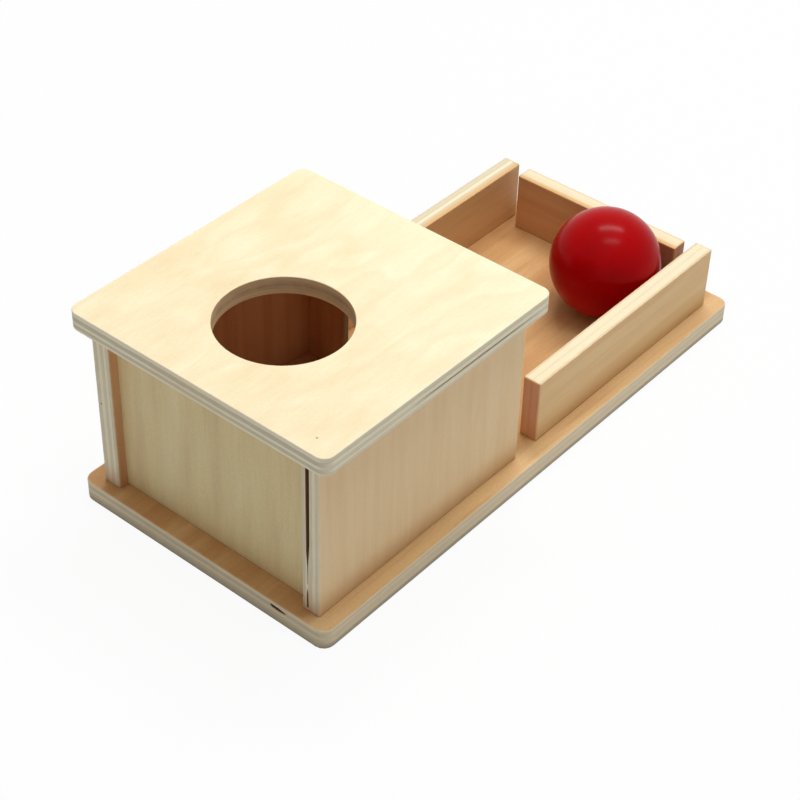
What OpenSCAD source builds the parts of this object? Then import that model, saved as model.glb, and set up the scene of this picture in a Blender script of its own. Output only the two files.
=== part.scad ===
// Object permanence box: a lidded box with a ball hole, a ramp inside and an open tray,
// built from plywood boards on one base board, with one loose ball.
// Lengths are in millimetres. The origin is at the centre of the base board's underside,
// +X runs from the box to the tray, -Y is the near side and +Z is up.

/* [Ball] */
// Diameter of the ball
ball_d = 55; // [46:1:62]
// Gap between the ball and the boards that it lies against
ball_gap = 0.25; // [0.1:0.05:0.5]

/* [Eased edges] */
// Radius of the eased rims of the base board, the lid and the upright boards
edge_ease = 0.6; // [0.5:0.1:2.5]
// How much more the upright boards' standing edges are rounded than their rims
standing_edge_extra = 0.3; // [0.2:0.1:1]

/* [Base board] */
// Thickness of the base board
base_t = 10.5; // [8:0.5:15]
// Radius of the base board's corners
base_corner_r = 5.5; // [3:0.5:10]
// Base board in front of the box
base_front_margin = 6; // [4:0.5:15]
// Base board beside the box and the tray
base_side_margin = 8.5; // [5:0.5:16]
// Base board past the end of the tray
base_end_margin = 10.5; // [6:0.5:20]

/* [Box] */
// Thickness of the upright boards
board_t = 9.5; // [8:0.5:12]
// Length of the box's side boards
box_len = 133.5; // [120:0.5:160]
// Width of the box over its side boards
box_w = 128; // [116:1:150]
// Height of the box's side boards
box_h = 85; // [82:1:110]
// Thickness of the front and back panels
panel_t = 3.5; // [3:0.25:5]
// How far the panels are set back from the ends of the side boards
panel_setback = 5; // [4:0.5:10]
// Depth of the grooves that hold the panels
groove_depth = 4; // [2.5:0.5:5]
// Play between a panel and its groove
groove_play = 0.1; // [0.05:0.05:0.2]

/* [Doorway] */
// Room beside the ball in the doorway
door_side_play = 5.5; // [3:0.5:8]
// Height of the panel left above the doorway
door_head = 13; // [8:1:16]

/* [Lid] */
// Thickness of the lid
lid_t = 9; // [7:0.5:14]
// Radius of the lid's corners
lid_corner_r = 5; // [3:0.5:10]
// Overhang of the lid at the front
lid_front_overhang = 5; // [4:0.5:14]
// Overhang of the lid at the back
lid_back_overhang = 6.5; // [4:0.5:13]
// Overhang of the lid at each side
lid_side_overhang = 8; // [4:0.5:14]
// Room round the ball in the hole
hole_play = 2.5; // [1.5:0.25:4]
// Distance from the lid's front edge to the centre of the hole
hole_setback = 54.5; // [48:0.5:80]

/* [Ramp] */
// Thickness of the ramp board
ramp_t = 3.5; // [3:0.25:5]
// Slope of the ramp in degrees
ramp_angle = 12; // [9:0.5:14]
// Depth planed off under the ramp's low edge, so that it lies flat
ramp_foot = 0.7; // [0.4:0.1:1.5]
// Play round the edges of the ramp
ramp_play = 0.2; // [0.1:0.05:0.4]
// Thickness of the batten under the ramp's high end
batten_t = 9; // [6:0.5:15]

/* [Tray] */
// Gap between the box's side boards and the tray's
tray_gap = 14.5; // [10:0.5:25]
// Length of the tray's side boards
tray_len = 140; // [110:1:180]
// Height of the tray's near side board
tray_h = 33.5; // [30:0.5:50]
// Height of the tray's far side board
far_h = 31.5; // [30:0.5:50]
// Height of the tray's end board
end_h = 31.5; // [30:0.5:50]
// Gap between the end board and each side board
end_gap = 6; // [4:0.5:14]

/* [Screws] */
// Diameter of the screw's shank
screw_d = 3.5; // [3:0.25:4]
// Length of the screws
screw_len = 25; // [20:1:28]
// Diameter of the countersunk head
screw_head_d = 7; // [6:0.25:8]
// Height of the head's cone
screw_head_h = 2; // [1.5:0.25:3]
// Length of the screw's point
screw_point = 4; // [2:0.5:6]
// Depth of the head below the base board's underside
screw_sink = 0.5; // [0.2:0.1:1]
// Room past the point of a screw in its pilot hole
screw_end_room = 0.5; // [0.3:0.1:1]
// Width of the cross recess in the head
recess_w = 0.9; // [0.6:0.1:1.2]
// Span of the cross recess
recess_span = 3.6; // [3:0.1:4]
// Depth of the cross recess
recess_depth = 1.2; // [0.8:0.1:1.4]
// Play between a screw or dowel and its hole
hole_fit = 0.05; // [0.03:0.01:0.1]

/* [Dowels] */
// Diameter of the lid's dowels
dowel_d = 5; // [4:0.5:6]
// Depth of the dowels in the side boards
dowel_depth = 13; // [8:1:20]
// Wood left above the dowels in the lid
dowel_cover = 3.5; // [2.5:0.25:4.5]
// Room past each end of a dowel
dowel_end_room = 0.5; // [0.3:0.1:1]

/* [Hidden] */
$fn = 96;

// Overrun of every cut past the face that it opens
overrun = 1;

// Places of the fasteners as shares of the board that they hold
box_screw_shares = [0.2, 0.5, 0.8];
tray_screw_shares = [0.15, 0.85];
end_screw_shares = [0.2, 0.8];
dowel_shares = [0.25, 0.75];

// Outlines of the base board and the lid
base_len = base_front_margin + box_len + tray_gap + tray_len + base_end_margin;
base_w = box_w + 2 * base_side_margin;
lid_len = lid_front_overhang + box_len + lid_back_overhang;
lid_w = box_w + 2 * lid_side_overhang;

// Places along X, from the front of the base board to the end of the tray
base_x0 = -base_len / 2;
box_x0 = base_x0 + base_front_margin;
box_x1 = box_x0 + box_len;
lid_x0 = box_x0 - lid_front_overhang;
tray_x0 = box_x1 + tray_gap;
tray_x1 = tray_x0 + tray_len;
end_x0 = tray_x1 - board_t;
front_panel_x = box_x0 + panel_setback;
back_panel_x = box_x1 - panel_setback - panel_t;
hole_x = lid_x0 + hole_setback;

// Radius of the upright boards' standing edges
board_corner_r = edge_ease + standing_edge_extra;

// Places across Y: the inner face and the middle of the near side boards
inner_w = box_w - 2 * board_t;
inner_y = -inner_w / 2;
board_y = inner_y - board_t / 2;
end_len = inner_w - 2 * end_gap;

// Heights of the lid's underside and of the holes above the base board's underside
lid_z = base_t + box_h;
pilot_z = screw_sink + screw_len + screw_end_room;
dowel_z0 = lid_z - dowel_depth;
dowel_z1 = lid_z + lid_t - dowel_cover;

// Openings that pass the ball; the doorway's arch springs where its top leaves the panel's head
hole_d = ball_d + 2 * hole_play;
door_w = ball_d + 2 * door_side_play;
door_spring_z = lid_z - door_head - door_w / 2;

// The panels reach into both grooves, and the ramp lies between the panels and the side boards
panel_w = inner_w + 2 * (groove_depth - groove_play);
chamber_x0 = front_panel_x + panel_t;
chamber_x1 = back_panel_x;
ramp_x0 = chamber_x0 + ramp_play;
ramp_x1 = chamber_x1 - ramp_play;
ramp_w = inner_w - 2 * ramp_play;
foot_x = ramp_x1 - ramp_foot / tan(ramp_angle);

// Height of the ramp's underside and top at a place along X
function ramp_under(x) = base_t - ramp_foot + (ramp_x1 - x) * tan(ramp_angle);
function ramp_top(x) = ramp_under(x) + ramp_t / cos(ramp_angle);

// Centres of the fasteners: the near side boards' and the end board's
function along(x0, len, shares) = [for (s = shares) x0 + s * len];
box_screw_places = [for (x = along(box_x0, box_len, box_screw_shares)) [x, board_y]];
tray_screw_places = [for (x = along(tray_x0, tray_len, tray_screw_shares)) [x, board_y]];
end_screw_places = [for (y = along(-end_len / 2, end_len, end_screw_shares)) [end_x0 + board_t / 2, y]];
dowel_places = [for (x = along(box_x0, box_len, dowel_shares)) [x, board_y]];

// Rounded rectangle about the origin
module rounded_rectangle(len, width, r) {
    square([len - 2 * r, width], center = true);
    square([len, width - 2 * r], center = true);
    for (sx = [-1, 1], sy = [-1, 1])
        translate([sx * (len / 2 - r), sy * (width / 2 - r)])
            circle(r);
}

// Board with round corners and eased rims, centred in plan and standing on z
module eased_board(len, width, height, corner_r) {
    translate([0, 0, height / 2]) {
        rotate([90, 0, 90])
            linear_extrude(len - 2 * corner_r, center = true)
                rounded_rectangle(width, height, edge_ease);
        rotate([90, 0, 0])
            linear_extrude(width - 2 * corner_r, center = true)
                rounded_rectangle(len, height, edge_ease);
        for (sx = [-1, 1], sy = [-1, 1])
            translate([sx * (len / 2 - corner_r), sy * (width / 2 - corner_r), 0])
                rotate_extrude()
                    intersection() {
                        rounded_rectangle(2 * corner_r, height, edge_ease);
                        translate([0, -height / 2])
                            square([corner_r, height]);
                    }
    }
}

// The far side's twin of a near piece
module far_side() {
    mirror([0, 1, 0])
        children();
}

// Near piece and its far twin together
module both_sides() {
    children();
    far_side()
        children();
}

// Children at each of a list of places on the base board's plane
module at_places(places) {
    for (p = places)
        translate([p.x, p.y, 0])
            children();
}

// Outline extruded across the box, drawn in X and Z
module across(width) {
    rotate([90, 0, 0])
        linear_extrude(width, center = true)
            children();
}

// Countersunk wood screw, head down, with a cross recess
module wood_screw() {
    translate([0, 0, screw_sink])
        difference() {
            rotate_extrude()
                polygon([
                    [0, 0],
                    [screw_head_d / 2, 0],
                    [screw_d / 2, screw_head_h],
                    [screw_d / 2, screw_len - screw_point],
                    [0, screw_len]
                ]);
            for (turn = [0, 90])
                rotate([0, 0, turn])
                    translate([-recess_span / 2, -recess_w / 2, -overrun])
                        cube([recess_span, recess_w, overrun + recess_depth]);
        }
}

// Countersunk hole for a screw through the base board
module screw_hole() {
    rotate_extrude()
        polygon([
            [0, -overrun],
            [screw_head_d / 2 + hole_fit, -overrun],
            [screw_head_d / 2 + hole_fit, screw_sink],
            [screw_d / 2 + hole_fit, screw_sink + screw_head_h],
            [screw_d / 2 + hole_fit, base_t + overrun],
            [0, base_t + overrun]
        ]);
}

// Pilot hole for a screw in the foot of an upright board
module pilot_hole() {
    translate([0, 0, base_t - overrun])
        cylinder(d = screw_d + 2 * hole_fit, h = pilot_z - base_t + overrun);
}

// Hole for a dowel, shared by a side board and the lid
module dowel_hole() {
    translate([0, 0, dowel_z0])
        cylinder(d = dowel_d + 2 * hole_fit, h = dowel_z1 - dowel_z0);
}

// Dowel between a side board and the lid
module dowel() {
    translate([0, 0, dowel_z0 + dowel_end_room])
        cylinder(d = dowel_d, h = dowel_z1 - dowel_z0 - 2 * dowel_end_room);
}

// Groove in the near side board for the panel at x
module panel_groove(x) {
    translate([x - groove_play, inner_y - groove_depth, base_t - overrun])
        cube([panel_t + 2 * groove_play, groove_depth + overrun, box_h + 2 * overrun]);
}

// Near side board of the box
module box_side() {
    difference() {
        translate([box_x0 + box_len / 2, board_y, base_t])
            eased_board(box_len, board_t, box_h, board_corner_r);
        panel_groove(front_panel_x);
        panel_groove(back_panel_x);
        at_places(box_screw_places)
            pilot_hole();
        at_places(dowel_places)
            dowel_hole();
    }
}

// Side board of the tray, on the near side
module tray_side(height) {
    difference() {
        translate([tray_x0 + tray_len / 2, board_y, base_t])
            eased_board(tray_len, board_t, height, board_corner_r);
        at_places(tray_screw_places)
            pilot_hole();
    }
}

// Plain panel from groove to groove
module panel(x) {
    translate([x, -panel_w / 2, base_t])
        cube([panel_t, panel_w, box_h]);
}

module base_board() {
    color("burlywood")
        difference() {
            eased_board(base_len, base_w, base_t, base_corner_r);
            both_sides() {
                at_places(box_screw_places)
                    screw_hole();
                at_places(tray_screw_places)
                    screw_hole();
            }
            at_places(end_screw_places)
                screw_hole();
        }
}

module box_side_near() {
    color("wheat")
        box_side();
}

module box_side_far() {
    color("wheat")
        far_side()
            box_side();
}

module front_panel() {
    color("tan")
        panel(front_panel_x);
}

module back_panel() {
    color("tan")
        difference() {
            panel(back_panel_x);
            translate([back_panel_x - overrun, 0, 0]) {
                translate([0, -door_w / 2, base_t - overrun])
                    cube([panel_t + 2 * overrun, door_w, door_spring_z - base_t + overrun]);
                translate([0, 0, door_spring_z])
                    rotate([0, 90, 0])
                        cylinder(d = door_w, h = panel_t + 2 * overrun);
            }
        }
}

module lid() {
    color("moccasin")
        difference() {
            translate([lid_x0 + lid_len / 2, 0, lid_z])
                eased_board(lid_len, lid_w, lid_t, lid_corner_r);
            translate([hole_x, 0, lid_z - overrun])
                cylinder(d = hole_d, h = lid_t + 2 * overrun);
            both_sides()
                at_places(dowel_places)
                    dowel_hole();
        }
}

module lid_dowels_near() {
    color("peru")
        at_places(dowel_places)
            dowel();
}

module lid_dowels_far() {
    color("peru")
        far_side()
            at_places(dowel_places)
                dowel();
}

module ramp_board() {
    color("sandybrown")
        across(ramp_w)
            polygon([
                [ramp_x0, ramp_under(ramp_x0)],
                [foot_x, base_t],
                [ramp_x1, base_t],
                [ramp_x1, ramp_top(ramp_x1)],
                [ramp_x0, ramp_top(ramp_x0)]
            ]);
}

module ramp_batten() {
    batten_x1 = chamber_x0 + batten_t;
    color("peru")
        across(ramp_w)
            polygon([
                [chamber_x0, base_t],
                [batten_x1, base_t],
                [batten_x1, ramp_under(batten_x1)],
                [chamber_x0, ramp_under(chamber_x0)]
            ]);
}

module tray_side_near() {
    color("wheat")
        tray_side(tray_h);
}

module tray_side_far() {
    color("wheat")
        far_side()
            tray_side(far_h);
}

module tray_end() {
    color("wheat")
        difference() {
            translate([end_x0 + board_t / 2, 0, base_t])
                eased_board(board_t, end_len, end_h, board_corner_r);
            at_places(end_screw_places)
                pilot_hole();
        }
}

// The ball lies in the corner between the near side board and the end board
module ball() {
    color("crimson")
        translate([
            end_x0 - ball_gap - ball_d / 2,
            inner_y + ball_gap + ball_d / 2,
            base_t + ball_gap + ball_d / 2
        ])
            sphere(d = ball_d);
}

module box_screws_near() {
    color("silver")
        at_places(box_screw_places)
            wood_screw();
}

module box_screws_far() {
    color("silver")
        far_side()
            at_places(box_screw_places)
                wood_screw();
}

module tray_screws_near() {
    color("silver")
        at_places(tray_screw_places)
            wood_screw();
}

module tray_screws_far() {
    color("silver")
        far_side()
            at_places(tray_screw_places)
                wood_screw();
}

module end_screws() {
    color("silver")
        at_places(end_screw_places)
            wood_screw();
}

base_board();
box_side_near();
box_side_far();
front_panel();
back_panel();
lid();
lid_dowels_near();
lid_dowels_far();
ramp_board();
ramp_batten();
tray_side_near();
tray_side_far();
tray_end();
ball();
box_screws_near();
box_screws_far();
tray_screws_near();
tray_screws_far();
end_screws();
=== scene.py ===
import math
from collections import namedtuple

import bmesh
import bpy
from bpy.props import FloatProperty, FloatVectorProperty, IntProperty, PointerProperty
from bpy.types import Operator, Panel, PropertyGroup
from mathutils import Matrix, Vector


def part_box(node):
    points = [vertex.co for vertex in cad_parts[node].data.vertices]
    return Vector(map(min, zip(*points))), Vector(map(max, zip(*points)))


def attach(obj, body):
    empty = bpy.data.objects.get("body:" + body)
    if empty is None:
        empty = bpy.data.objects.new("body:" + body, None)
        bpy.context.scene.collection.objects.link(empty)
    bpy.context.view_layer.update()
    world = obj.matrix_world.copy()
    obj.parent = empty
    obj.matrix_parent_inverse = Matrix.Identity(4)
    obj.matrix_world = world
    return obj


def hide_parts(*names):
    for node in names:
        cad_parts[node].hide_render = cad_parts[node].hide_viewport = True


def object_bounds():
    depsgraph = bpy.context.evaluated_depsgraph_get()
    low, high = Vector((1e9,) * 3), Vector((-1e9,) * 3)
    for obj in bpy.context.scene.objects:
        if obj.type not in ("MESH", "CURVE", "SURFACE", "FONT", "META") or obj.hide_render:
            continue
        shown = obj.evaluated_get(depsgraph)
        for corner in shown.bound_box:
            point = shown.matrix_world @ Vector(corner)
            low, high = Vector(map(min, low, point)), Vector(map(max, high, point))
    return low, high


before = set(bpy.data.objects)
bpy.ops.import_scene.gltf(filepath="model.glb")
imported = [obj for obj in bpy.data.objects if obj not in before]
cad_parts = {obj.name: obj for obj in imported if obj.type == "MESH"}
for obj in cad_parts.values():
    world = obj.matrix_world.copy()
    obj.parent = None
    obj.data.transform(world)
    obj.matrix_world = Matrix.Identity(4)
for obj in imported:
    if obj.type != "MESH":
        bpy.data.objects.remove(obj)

bl_info = {
    "name": "Plywood object permanence box",
    "version": (1, 0, 0),
    "blender": (4, 5, 0),
    "location": "View3D > Sidebar > Box",
    "description": "Boards, ball, fasteners and studio of a plywood ball drop box",
    "category": "Object",
}

CAD_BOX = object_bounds()

X, Y, Z = Vector((1, 0, 0)), Vector((0, 1, 0)), Vector((0, 0, 1))

# Edges with a wider turn than this stay sharp in the shading
SHARP_ANGLE = math.radians(40)

# Lengths in metres that differ by less than this are taken as the same
SAME = 1e-6

# Sockets of a Mix node that mixes colours: factor and two colours in, one colour out
MIX_SOCKETS = (0, 6, 7)
MIX_RESULT = 2

# Screws in each row under the base board
FASTENER_ROWS = {
    "box_screws_near": 3,
    "box_screws_far": 3,
    "tray_screws_near": 2,
    "tray_screws_far": 2,
    "end_screws": 2,
}

# Segments round a countersink, round the ball hole, and in the doorway's arch for each round step
SINK_SIDES = 32
HOLE_SIDES = 96
ARCH_SIDES = 10

# Share of its width that a countersink keeps at its inner end
SINK_TAPER = 0.5

# Marks in the wood, in metres or as shares: width of the arrises' wear and painted highlight, depth over
# which the painted shade in a flaw grows, reach of the painted warm light on the hole's wall in hole radii
# and its strength, half height where the hole's dark core starts to fade and is gone, strength of a pin knot
ARRIS_WIDTH = 0.0016
FLAW_SKIN = 0.0008
HOLE_LIGHT_REACH = 2.1
HOLE_LIGHT_SHARE = 0.55
CORE_BAND = (0.0005, 0.0024)
KNOT_SHARE = 0.7

# Where the crosswise plies take their grain from, so that it differs from the face's
CROSS_GRAIN_SHIFT = (0.7, 0.3, 0)

# Studio: the camera's sensor in millimetres, half the floor's side, the height in the sky where its light
# starts to grow, the way the lamps lie, and for each lamp its name, its power setting, and its place and its
# sides as shares of the lamps' height above the ball
SENSOR_WIDTH = 36
FLOOR_HALF = 6
SKY_START = 0.6
LAMP_WAY = Vector((0.64, -0.76, 0))
LAMPS = (
    ("lamp behind", "key_power", (0.359, 0.148), (0.72, 0.15)),
    ("lamp in front", "front_power", (-0.051, -0.208), (0.52, 0.12)),
)

# Veneers: the parts of one, where each one lies, and its parts' eight-bit screen colours
VENEER_PARTS = {"pale": "Palest wood of", "body": "Main wood of", "warm": "Figure in"}
VENEERS = {
    "lid": ("the lid's face", (254, 247, 211), (252, 237, 197), (247, 222, 178)),
    "side": ("the box's side boards", (252, 225, 181), (248, 217, 168), (242, 206, 158)),
    "tray": ("the tray boards' outer faces", (245, 212, 158), (240, 203, 147), (229, 185, 128)),
    "panel": ("the front panel", (246, 229, 180), (240, 219, 165), (230, 204, 154)),
    # The inner faces' veneer is darker and warmer than the outer faces': painted shade and warm bounce light
    "inner": ("the boards' inner faces", (221, 175, 132), (211, 162, 118), (197, 143, 99)),
    "base": ("the base board", (228, 191, 138), (206, 160, 106), (190, 136, 84)),
}

# Outlines of the open flaws, as shares of the two sides of the face that each one lies in
CRACK_SHARES = (
    (0.24, 0.985), (0.25, 0.40), (0.32, 0.29), (0.33, 0.18), (0.355, 0.18), (0.37, 0.31), (0.45, 0.45),
    (0.46, 0.985))
FOOT_CRACK_SHARES = ((0.27, 0.02), (0.27, 0.11), (0.31, 0.155), (0.36, 0.12), (0.38, 0.02))
VOID_SHARES = (
    (0.150, 0.70), (0.175, 0.665), (0.207, 0.68), (0.214, 0.77), (0.209, 0.85), (0.18, 0.84), (0.152, 0.765))
SLIT_SHARES = ((0.36, 0.45), (0.46, 0.40), (0.80, 0.395), (0.95, 0.44), (0.80, 0.48), (0.46, 0.475))

# Places of the pin knots, as shares of the board's box
LID_KNOT_SHARES = ((0.059, 0.083, 1),)
FAR_WALL_KNOT_SHARES = ((0, 0.747, 0.533),)

# A sheet of plywood: its box, the ways its grain and its depth run, a point of its show face, its thickness
Sheet = namedtuple("Sheet", "low high grain inward start thickness")

# How a board looks where its maker says nothing else
LOOK_DEFAULTS = {
    # Number of plies, and how their lines lean to one face and swell
    "plies": 5,
    "lean": 0.0,
    "swell": 0.0,
    # Strength of the flame figure, its width and its share of detail along the grain
    "flame": 0.3,
    "flame_width": 0.05,
    "stretch": 0.2,
    # Strength of the clouds, the streaks and the mottle
    "cloud": 0.5,
    "streak": 0.4,
    "mottle": 0.02,
    # Contrast of the plies at the edges, and its share at the sides along the grain
    "contrast": 0.5,
    "side_shade": 1.0,
    # Redness of the ends, partly end grain and partly painted warm bounce light, share of the face's tone in
    # the edges, darkening of the edges, warmth by the back face
    "end_red": 0.0,
    "edge_tone": 0.0,
    "scorch": 0.0,
    "lip": 0.0,
    # Strength and height of the painted shade at the foot, strength of the arrises' wear and painted
    # highlight
    "foot": 0.0,
    "foot_height": 0.016,
    "rub": 0.3,
    # Where the sapwood starts and where it is full, as shares of the board's box
    "sapwood": None,
}

Look = namedtuple("Look", LOOK_DEFAULTS, defaults=LOOK_DEFAULTS.values())


def tone(red, green, blue):
    """Linear colour of an eight-bit screen colour."""
    def linear(level):
        share = level / 255
        if share <= 0.04045:
            return share / 12.92
        return ((share + 0.055) / 1.055) ** 2.4
    return tuple(linear(level) for level in (red, green, blue))


def colour_property(name, description, red, green, blue):
    """Colour that a user can change."""
    return FloatVectorProperty(
        name=name, description=description, subtype="COLOR", size=3,
        min=0, max=1, default=tone(red, green, blue),
    )


def length_property(name, description, metres):
    """Length that a user can change."""
    return FloatProperty(
        name=name, description=description, unit="LENGTH", precision=5,
        min=0, default=metres,
    )


def number_property(name, description, number):
    """Plain number that a user can change."""
    return FloatProperty(name=name, description=description, min=0, default=number)


def share_property(name, description, share):
    """Share from 0 to 1 that a user can change."""
    return FloatProperty(name=name, description=description, subtype="FACTOR", min=0, max=1, default=share)


# Settings


class ShapeSettings(PropertyGroup):
    """Sizes of the boards' eased edges, openings, ramp and flaws."""

    rim_ease: length_property("Rim ease", "Radius of the boards' sanded rims", 0.0006)
    lid_ease: length_property("Lid ease", "Radius of the lid's sanded rims", 0.0004)
    standing_ease: length_property("Standing ease", "Radius of the upright boards' standing edges", 0.0009)
    base_corner: length_property("Base corner", "Radius of the base board's corners", 0.0055)
    lid_corner: length_property("Lid corner", "Radius of the lid's corners", 0.005)
    hole_diameter: length_property("Hole diameter", "Diameter of the ball hole in the lid", 0.060)
    hole_setback: length_property("Hole setback", "From the lid's front edge to the hole's centre", 0.0545)
    hole_ease: length_property("Hole ease", "Radius of the ball hole's sanded rims", 0.0004)
    panel_ease: length_property("Panel ease", "Radius of the thin panels' edges", 0.0004)
    groove_play: length_property("Groove play", "Play between a panel and its groove", 0.0001)
    door_width: length_property("Doorway width", "Width of the doorway in the back panel", 0.066)
    door_head: length_property("Doorway head", "Panel left above the doorway's arch", 0.013)
    ramp_thickness: length_property("Ramp thickness", "Thickness of the ramp board", 0.0035)
    ramp_slope: FloatProperty(
        name="Ramp slope", description="Fall of the ramp towards the doorway", subtype="ANGLE",
        default=math.radians(12))
    screw_fit: length_property("Screw fit", "Play round a screw head in its countersink", 0.00005)
    countersink: length_property("Countersink", "Height of the countersink's cone", 0.002)
    crack_depth: length_property("Crack depth", "Depth of the crack in a side board's front end", 0.007)
    foot_crack_depth: length_property("Foot crack depth", "Depth of the crack's lower end", 0.0015)
    void_depth: length_property("Void depth", "Depth of the core void in the base board's front edge", 0.005)
    slit_depth: length_property("Slit depth", "Depth of the open glue line in the lid's near edge", 0.002)
    # Margin of the painted shade inside each flaw
    flaw_margin: length_property("Flaw margin", "Margin of the dark inside round each flaw", 0.001)
    knot_radius: length_property("Knot radius", "Radius of the pin knots", 0.0006)
    round_steps: IntProperty(
        name="Round steps", description="Segments in each eased edge", min=1, max=8, default=4)


def with_veneers(group):
    """Gives a group of settings the colours of every veneer."""
    for kind, (place, *tones) in VENEERS.items():
        for (part, words), levels in zip(VENEER_PARTS.items(), tones):
            group.__annotations__[f"{kind}_{part}"] = colour_property(
                f"{kind.capitalize()} {part}", f"{words} {place}", *levels)
    return group


@with_veneers
class VeneerSettings(PropertyGroup):
    """Colours of the veneers, the edges, the flaws, the dowels and the screws."""

    edge_light: colour_property("Edge light", "Pale plies at the boards' edges", 255, 245, 215)
    edge_dark: colour_property("Edge dark", "Grey-brown plies at the boards' edges", 205, 196, 168)
    # Partly end grain, partly painted warm bounce light in the narrow gaps at the tray's ends
    end_grain_bounce_red: colour_property("Edge red", "Reddish ends of the tray's boards", 200, 126, 95)
    # Painted warm shade and bounce light at the foot of the upright boards
    foot: colour_property("Foot", "Warm shade at the foot of the upright boards", 203, 153, 101)
    # Painted shade along the lower edge of the base board
    base_edge_shade: colour_property("Base edge shade", "Rubbed lower edge of the base board", 120, 110, 92)
    seam: colour_property("Seam", "Glue lines and shadows between the plies", 128, 110, 84)
    # Darker colour of the back panel's edges, its doorway's included, and of the core of the hole's wall
    scorch: colour_property("Scorch", "Doorway's sawn edges and core of the hole's wall", 92, 58, 34)
    # Painted shade inside the cracks and core voids
    flaw_shade: colour_property("Flaw shade", "Inside of cracks and core voids", 140, 106, 76)
    knot: colour_property("Knot", "Pin knots", 92, 62, 36)
    # Painted warm light on the wall of the ball hole
    hole_wall_light: colour_property("Hole wall light", "Wall of the ball hole, browned by the cutter", 255, 217, 156)
    beech: colour_property("Beech", "Wood of the dowels", 214, 172, 128)
    beech_fleck: colour_property("Beech fleck", "Rays in the dowels' wood", 168, 118, 78)
    zinc: colour_property("Zinc", "Plating of the screws", 196, 194, 188)
    zinc_dull: colour_property("Zinc dull", "Dull patches in the screws' plating", 138, 136, 132)


class BallSettings(PropertyGroup):
    """Paint and poles of the ball."""

    paint: colour_property("Paint", "Red enamel of the ball", 178, 2, 8)
    paint_deep: colour_property("Deep paint", "Where the enamel lies thicker", 167, 2, 7)
    pole_flat: length_property("Pole flat", "Radius of the sanded flats at the ball's poles", 0.003)
    ring_steps: IntProperty(
        name="Ring steps", description="Segments round the ball", min=16, max=192, default=96)


class StageSettings(PropertyGroup):
    """Camera, lamps, sky and floor."""

    camera_place: FloatVectorProperty(
        name="Camera place", description="Where the camera stands", subtype="TRANSLATION",
        unit="LENGTH", default=(-0.55986, -0.43884, 0.59566))
    camera_target: FloatVectorProperty(
        name="Camera target", description="What the camera looks at", subtype="TRANSLATION",
        unit="LENGTH", default=(-0.05404, -0.02859, 0.0505))
    camera_roll: FloatProperty(
        name="Camera roll", description="Turn of the camera about its line of sight",
        subtype="ANGLE", default=math.radians(1.73))
    lens: number_property("Lens", "Focal length in millimetres", 87.48)
    lamp_height: length_property("Lamp height", "Height of the lamps above the ball", 1.5)
    key_power: number_property("Key power", "Power of the lamp behind in watts", 14.2)
    front_power: number_property("Front power", "Power of the lamp in front in watts", 4.6)
    sky_high: number_property("Sky above", "Strength of the room's light overhead", 0.92)
    sky_low: number_property("Sky low", "Strength of the room's light near the floor", 0.125)
    floor_albedo: share_property("Floor", "How pale the floor is", 0.87)
    floor_white: share_property("Floor white", "Share of plain white in the floor to the camera", 0.93)


def settings(context):
    """The four groups of settings on the scene."""
    scene = context.scene
    return scene.box_shape, scene.box_veneer, scene.box_ball, scene.box_stage


# Shader helpers


class Value:
    """Output of a shader node. A sum on it adds the node that works it out."""

    def __init__(self, socket):
        self.socket = socket
        self.tree = socket.id_data

    def __add__(self, other):
        return maths("ADD", self, other)

    def __sub__(self, other):
        return maths("SUBTRACT", self, other)

    def __rsub__(self, other):
        return maths("SUBTRACT", other, self)

    def __mul__(self, other):
        return maths("MULTIPLY", self, other)

    def __truediv__(self, other):
        return maths("DIVIDE", self, other)

    def __rtruediv__(self, other):
        return maths("DIVIDE", other, self)


def fill(node, sockets):
    """Fills a node's inputs with numbers, colours or other nodes' values."""
    for key, value in sockets.items():
        if isinstance(value, Value):
            value.tree.links.new(value.socket, node.inputs[key])
        else:
            node.inputs[key].default_value = value


def add_node(tree, kind, sockets=None, **values):
    """New node with its values set and its inputs filled."""
    node = tree.nodes.new(kind)
    for key, value in values.items():
        setattr(node, key, value)
    fill(node, sockets or {})
    return node


def values_of(node):
    """A node's outputs by their names."""
    return {socket.name: Value(socket) for socket in node.outputs}


def tree_of(values):
    """Node tree of the first node's value in a row of values and numbers."""
    return next(value.tree for value in values if isinstance(value, Value))


def maths(operation, *values, clamp=False):
    """Value of a Math node."""
    node = add_node(
        tree_of(values), "ShaderNodeMath", dict(enumerate(values)), operation=operation, use_clamp=clamp)
    return Value(node.outputs[0])


def vectors(operation, *values, output="Vector"):
    """Value of a Vector Math node."""
    node = add_node(tree_of(values), "ShaderNodeVectorMath", dict(enumerate(values)), operation=operation)
    return Value(node.outputs[output])


def dim(colour, factor):
    """Colour times a factor."""
    sockets = {"Vector": colour, "Scale": factor}
    node = add_node(factor.tree, "ShaderNodeVectorMath", sockets, operation="SCALE")
    return Value(node.outputs["Vector"])


def split(vector):
    """The three parts of a vector."""
    return values_of(add_node(vector.tree, "ShaderNodeSeparateXYZ", {"Vector": vector}))


def mapped(vector, kind="POINT", **sockets):
    """Vector moved or turned by a Mapping node."""
    node = add_node(vector.tree, "ShaderNodeMapping", {"Vector": vector, **sockets}, vector_type=kind)
    return Value(node.outputs["Vector"])


def stretched(place, share):
    """Place that changes along X by a share only, which draws a pattern out along X."""
    return vectors("MULTIPLY", place, (share, 1, 1))


def noise(place, scale, detail=2.0, roughness=0.5):
    """Value of a Noise Texture, from 0 to 1."""
    node = add_node(place.tree, "ShaderNodeTexNoise", {
        "Vector": place, "Scale": scale, "Detail": detail, "Roughness": roughness})
    return Value(node.outputs["Fac"])


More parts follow.
